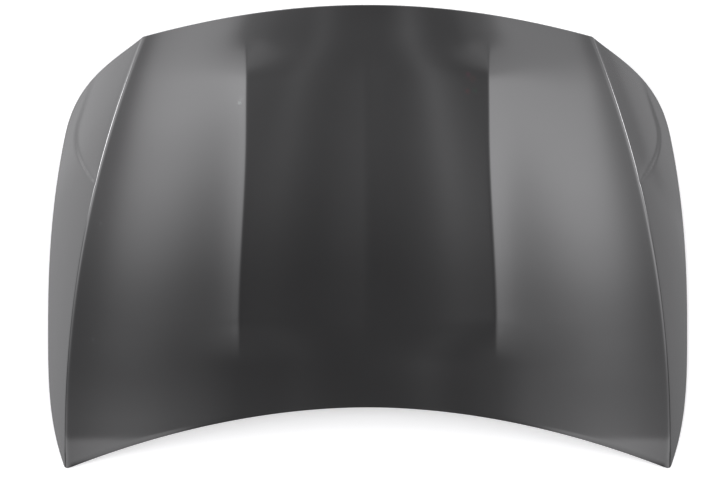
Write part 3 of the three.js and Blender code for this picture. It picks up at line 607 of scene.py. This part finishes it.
def blend(share, a, b):
    return add_node(studio, "Mix", {"Factor": share, "A": a, "B": b}).outputs["Result"]


coordinate = add_node(studio, "TexCoord").outputs["Generated"]
direction = add_node(studio, "SeparateXYZ", {"Vector": coordinate}).outputs


def angle_from_up(axis):
    turn = combine("ARCTAN2", direction[axis], direction["Z"])
    return combine("MULTIPLY", turn, DEGREES)


sideways = angle_from_up("X")
ahead = angle_from_up("Y")
on_right = combine("GREATER_THAN", sideways, 0.0)


def area(ahead_points, sideways_points):
    """A soft area: a curve towards the nose times a curve towards the side."""
    return combine("MULTIPLY", curve_of(ahead, ahead_points), curve_of(sideways, sideways_points))


# Two broad soft boxes overhead with a dark strip between them
overhead = curve_of(sideways, [
    (-90, 0), (-46, 0), (-38, 1.3), (-30, 2.6), (-24, 3.1), (-22, 3.0), (-21, 2.75), (-20, 2.6),
    (-19, 2.25), (-18, 1.75), (-17, 1.2), (-16, 0.9), (-12, 0.6), (-10, 0.5), (-5, 0.42),
    (-2.8, 0.58), (-1.2, 0.36), (0, 0.3), (1.2, 0.4), (2.6, 0.86), (4, 0.6), (6, 0.4),
    (10, 0.42), (12, 0.65), (15, 1.0), (17, 1.5), (18, 2.0), (19, 2.6), (20, 2.8), (24, 2.9),
    (30, 2.5), (38, 1.2), (46, 0), (90, 0),
])
left_lengthwise = curve_of(ahead, [
    (-90, 0), (-50, 0.1), (-40, 0.25), (-25, 0.34), (-20, 0.36), (-16, 0.3), (-12, 0.24),
    (-10, 0.3), (-9, 0.4), (-7, 0.66), (-5, 0.84), (-2, 1.0), (1, 1.04), (4, 1.12), (8, 1.05),
    (11, 0.9), (15, 0.78), (20, 0.68), (25, 0.45), (60, 0.15), (90, 0),
])
right_lengthwise = curve_of(ahead, [
    (-90, 0), (-50, 0.1), (-40, 0.2), (-25, 0.3), (-20, 0.28), (-16, 0.26), (-13, 0.28),
    (-10, 0.42), (-9, 0.6), (-7.5, 0.86), (-5, 1.06), (-2, 1.12), (2, 1.06), (7, 0.95),
    (11, 0.64), (15, 0.58), (20, 0.5), (25, 0.35), (60, 0.15), (90, 0),
])
boxes = combine("MULTIPLY", overhead, blend(on_right, left_lengthwise, right_lengthwise))

# A card towards the rear on each side, and weak fills towards the rear and the nose
rear_card = area(
    [(-90, 0), (-48, 0), (-40, 1.1), (-25.6, 0.95), (-24.8, 0.05), (90, 0)],
    [
        (-90, 0), (-40, 0), (-30, 1), (-15.5, 1), (-13, 0), (13, 0), (15.5, 1), (30, 1), (40, 0),
        (90, 0),
    ],
)
rear_fill = area(
    [(-90, 0), (-40, 0), (-25, 0.36), (-16, 0.34), (-12, 0.28), (-9, 0.06), (-7, 0), (90, 0)],
    [
        (-90, 0), (-40, 0), (-24, 0.2), (-19, 0.2), (-17, 0.6), (-13, 0.6), (-9, 0.2), (5, 0.2),
        (10, 0.7), (13, 1.3), (24, 1.3), (40, 0), (90, 0),
    ],
)
front_fill = area(
    [(-90, 0), (8, 0), (11, 0.15), (14, 0.5), (18, 0.65), (26, 0.5), (45, 0), (90, 0)],
    [
        (-90, 0), (-17, 0), (-12, 1), (-4, 0.8), (-1, 0.1), (1, 0.1), (4, 0.8), (12, 1), (17, 0),
        (90, 0),
    ],
)

# Bright walls on both sides, the right one of another strength towards the nose
walls = curve_of(sideways, [
    (-90, 2.6), (-80, 2.9), (-74, 2.6), (-66, 2.35), (-56, 2.3), (-50, 2.2), (-46, 0), (46, 0),
    (50, 1.2), (60, 1.4), (68, 1.55), (74, 1.8), (80, 2.5), (90, 2.4),
])
left_wall_span = curve_of(ahead, [
    (-90, 0.2), (-58, 0.3), (-46, 0.9), (30, 0.95), (48, 1.05), (72, 1.05), (80, 0.3), (90, 0.2),
])
right_wall_span = curve_of(ahead, [
    (-90, 0.2), (-58, 0.3), (-46, 0.9), (30, 1.0), (60, 1.0), (68, 0.5), (90, 0.2),
])
wall_span = blend(on_right, left_wall_span, right_wall_span)
front_right_wall = curve_of(sideways, [
    (0, 0), (46, 0), (50, 2.4), (57, 2.2), (61, 1.5), (66, 1.35), (72, 1.3), (75, 1.75),
    (79, 1.95), (90, 1.95),
])
towards_nose = curve_of(ahead, [(-90, 0), (24, 0), (32, 1), (90, 1)])
front_right = combine("MULTIPLY", on_right, towards_nose)
walls = blend(front_right, combine("MULTIPLY", walls, wall_span), front_right_wall)

# Cards ahead of the nose, and a narrow bright lamp on each side
front_cards = area(
    [(-90, 0), (24, 0), (29, 1), (58, 1), (66, 0), (90, 0)],
    [
        (-90, 0), (-64, 0), (-59, 1.6), (-47, 1.8), (-45, 3.8), (-5, 3.8), (5, 2.6), (45, 2.6),
        (47, 0), (90, 0),
    ],
)
side_lamps = area(
    [(-90, 0), (0, 0), (4, 0.4), (8, 1), (16, 1), (21, 0.3), (30, 0), (90, 0)],
    [
        (-90, 0), (-47, 0), (-44.5, 20), (-38.5, 20), (-36, 0), (36, 0), (38.5, 16), (44.5, 16),
        (47, 0), (90, 0),
    ],
)

# All of it, dimmed towards the horizon
total = combine("ADD", boxes, rear_card)
total = combine("ADD", total, combine("ADD", rear_fill, front_fill))
total = combine("ADD", total, combine("ADD", walls, front_cards))
total = combine("ADD", total, side_lamps)
height = combine("MULTIPLY", combine("ARCSINE", direction["Z"]), DEGREES)
horizon = curve_of(height, [(-90, 0.3), (0, 0.3), (2, 0.4), (7, 1), (90, 1)])
strength = combine("MULTIPLY", combine("MULTIPLY", total, horizon), LIGHT_LEVEL)
background = studio.nodes["Background"]
feed(studio, background.inputs["Color"], LIGHT_COLOR)
feed(studio, background.inputs["Strength"], strength)

# A plain white takes its place where the camera sees it, straight or through something clear
white = add_node(studio, "Background", {"Color": (1, 1, 1, 1)})
rays = add_node(studio, "LightPath").outputs
looked_at = combine("MAXIMUM", rays["Is Camera Ray"], rays["Is Transmission Ray"])
either = add_node(studio, "MixShader", {
    "Fac": looked_at, 1: background.outputs["Background"], 2: white.outputs["Background"],
})
feed(studio, studio.nodes["World Output"].inputs["Surface"], either.outputs["Shader"])

bpy.context.scene.view_settings.view_transform = "Standard"
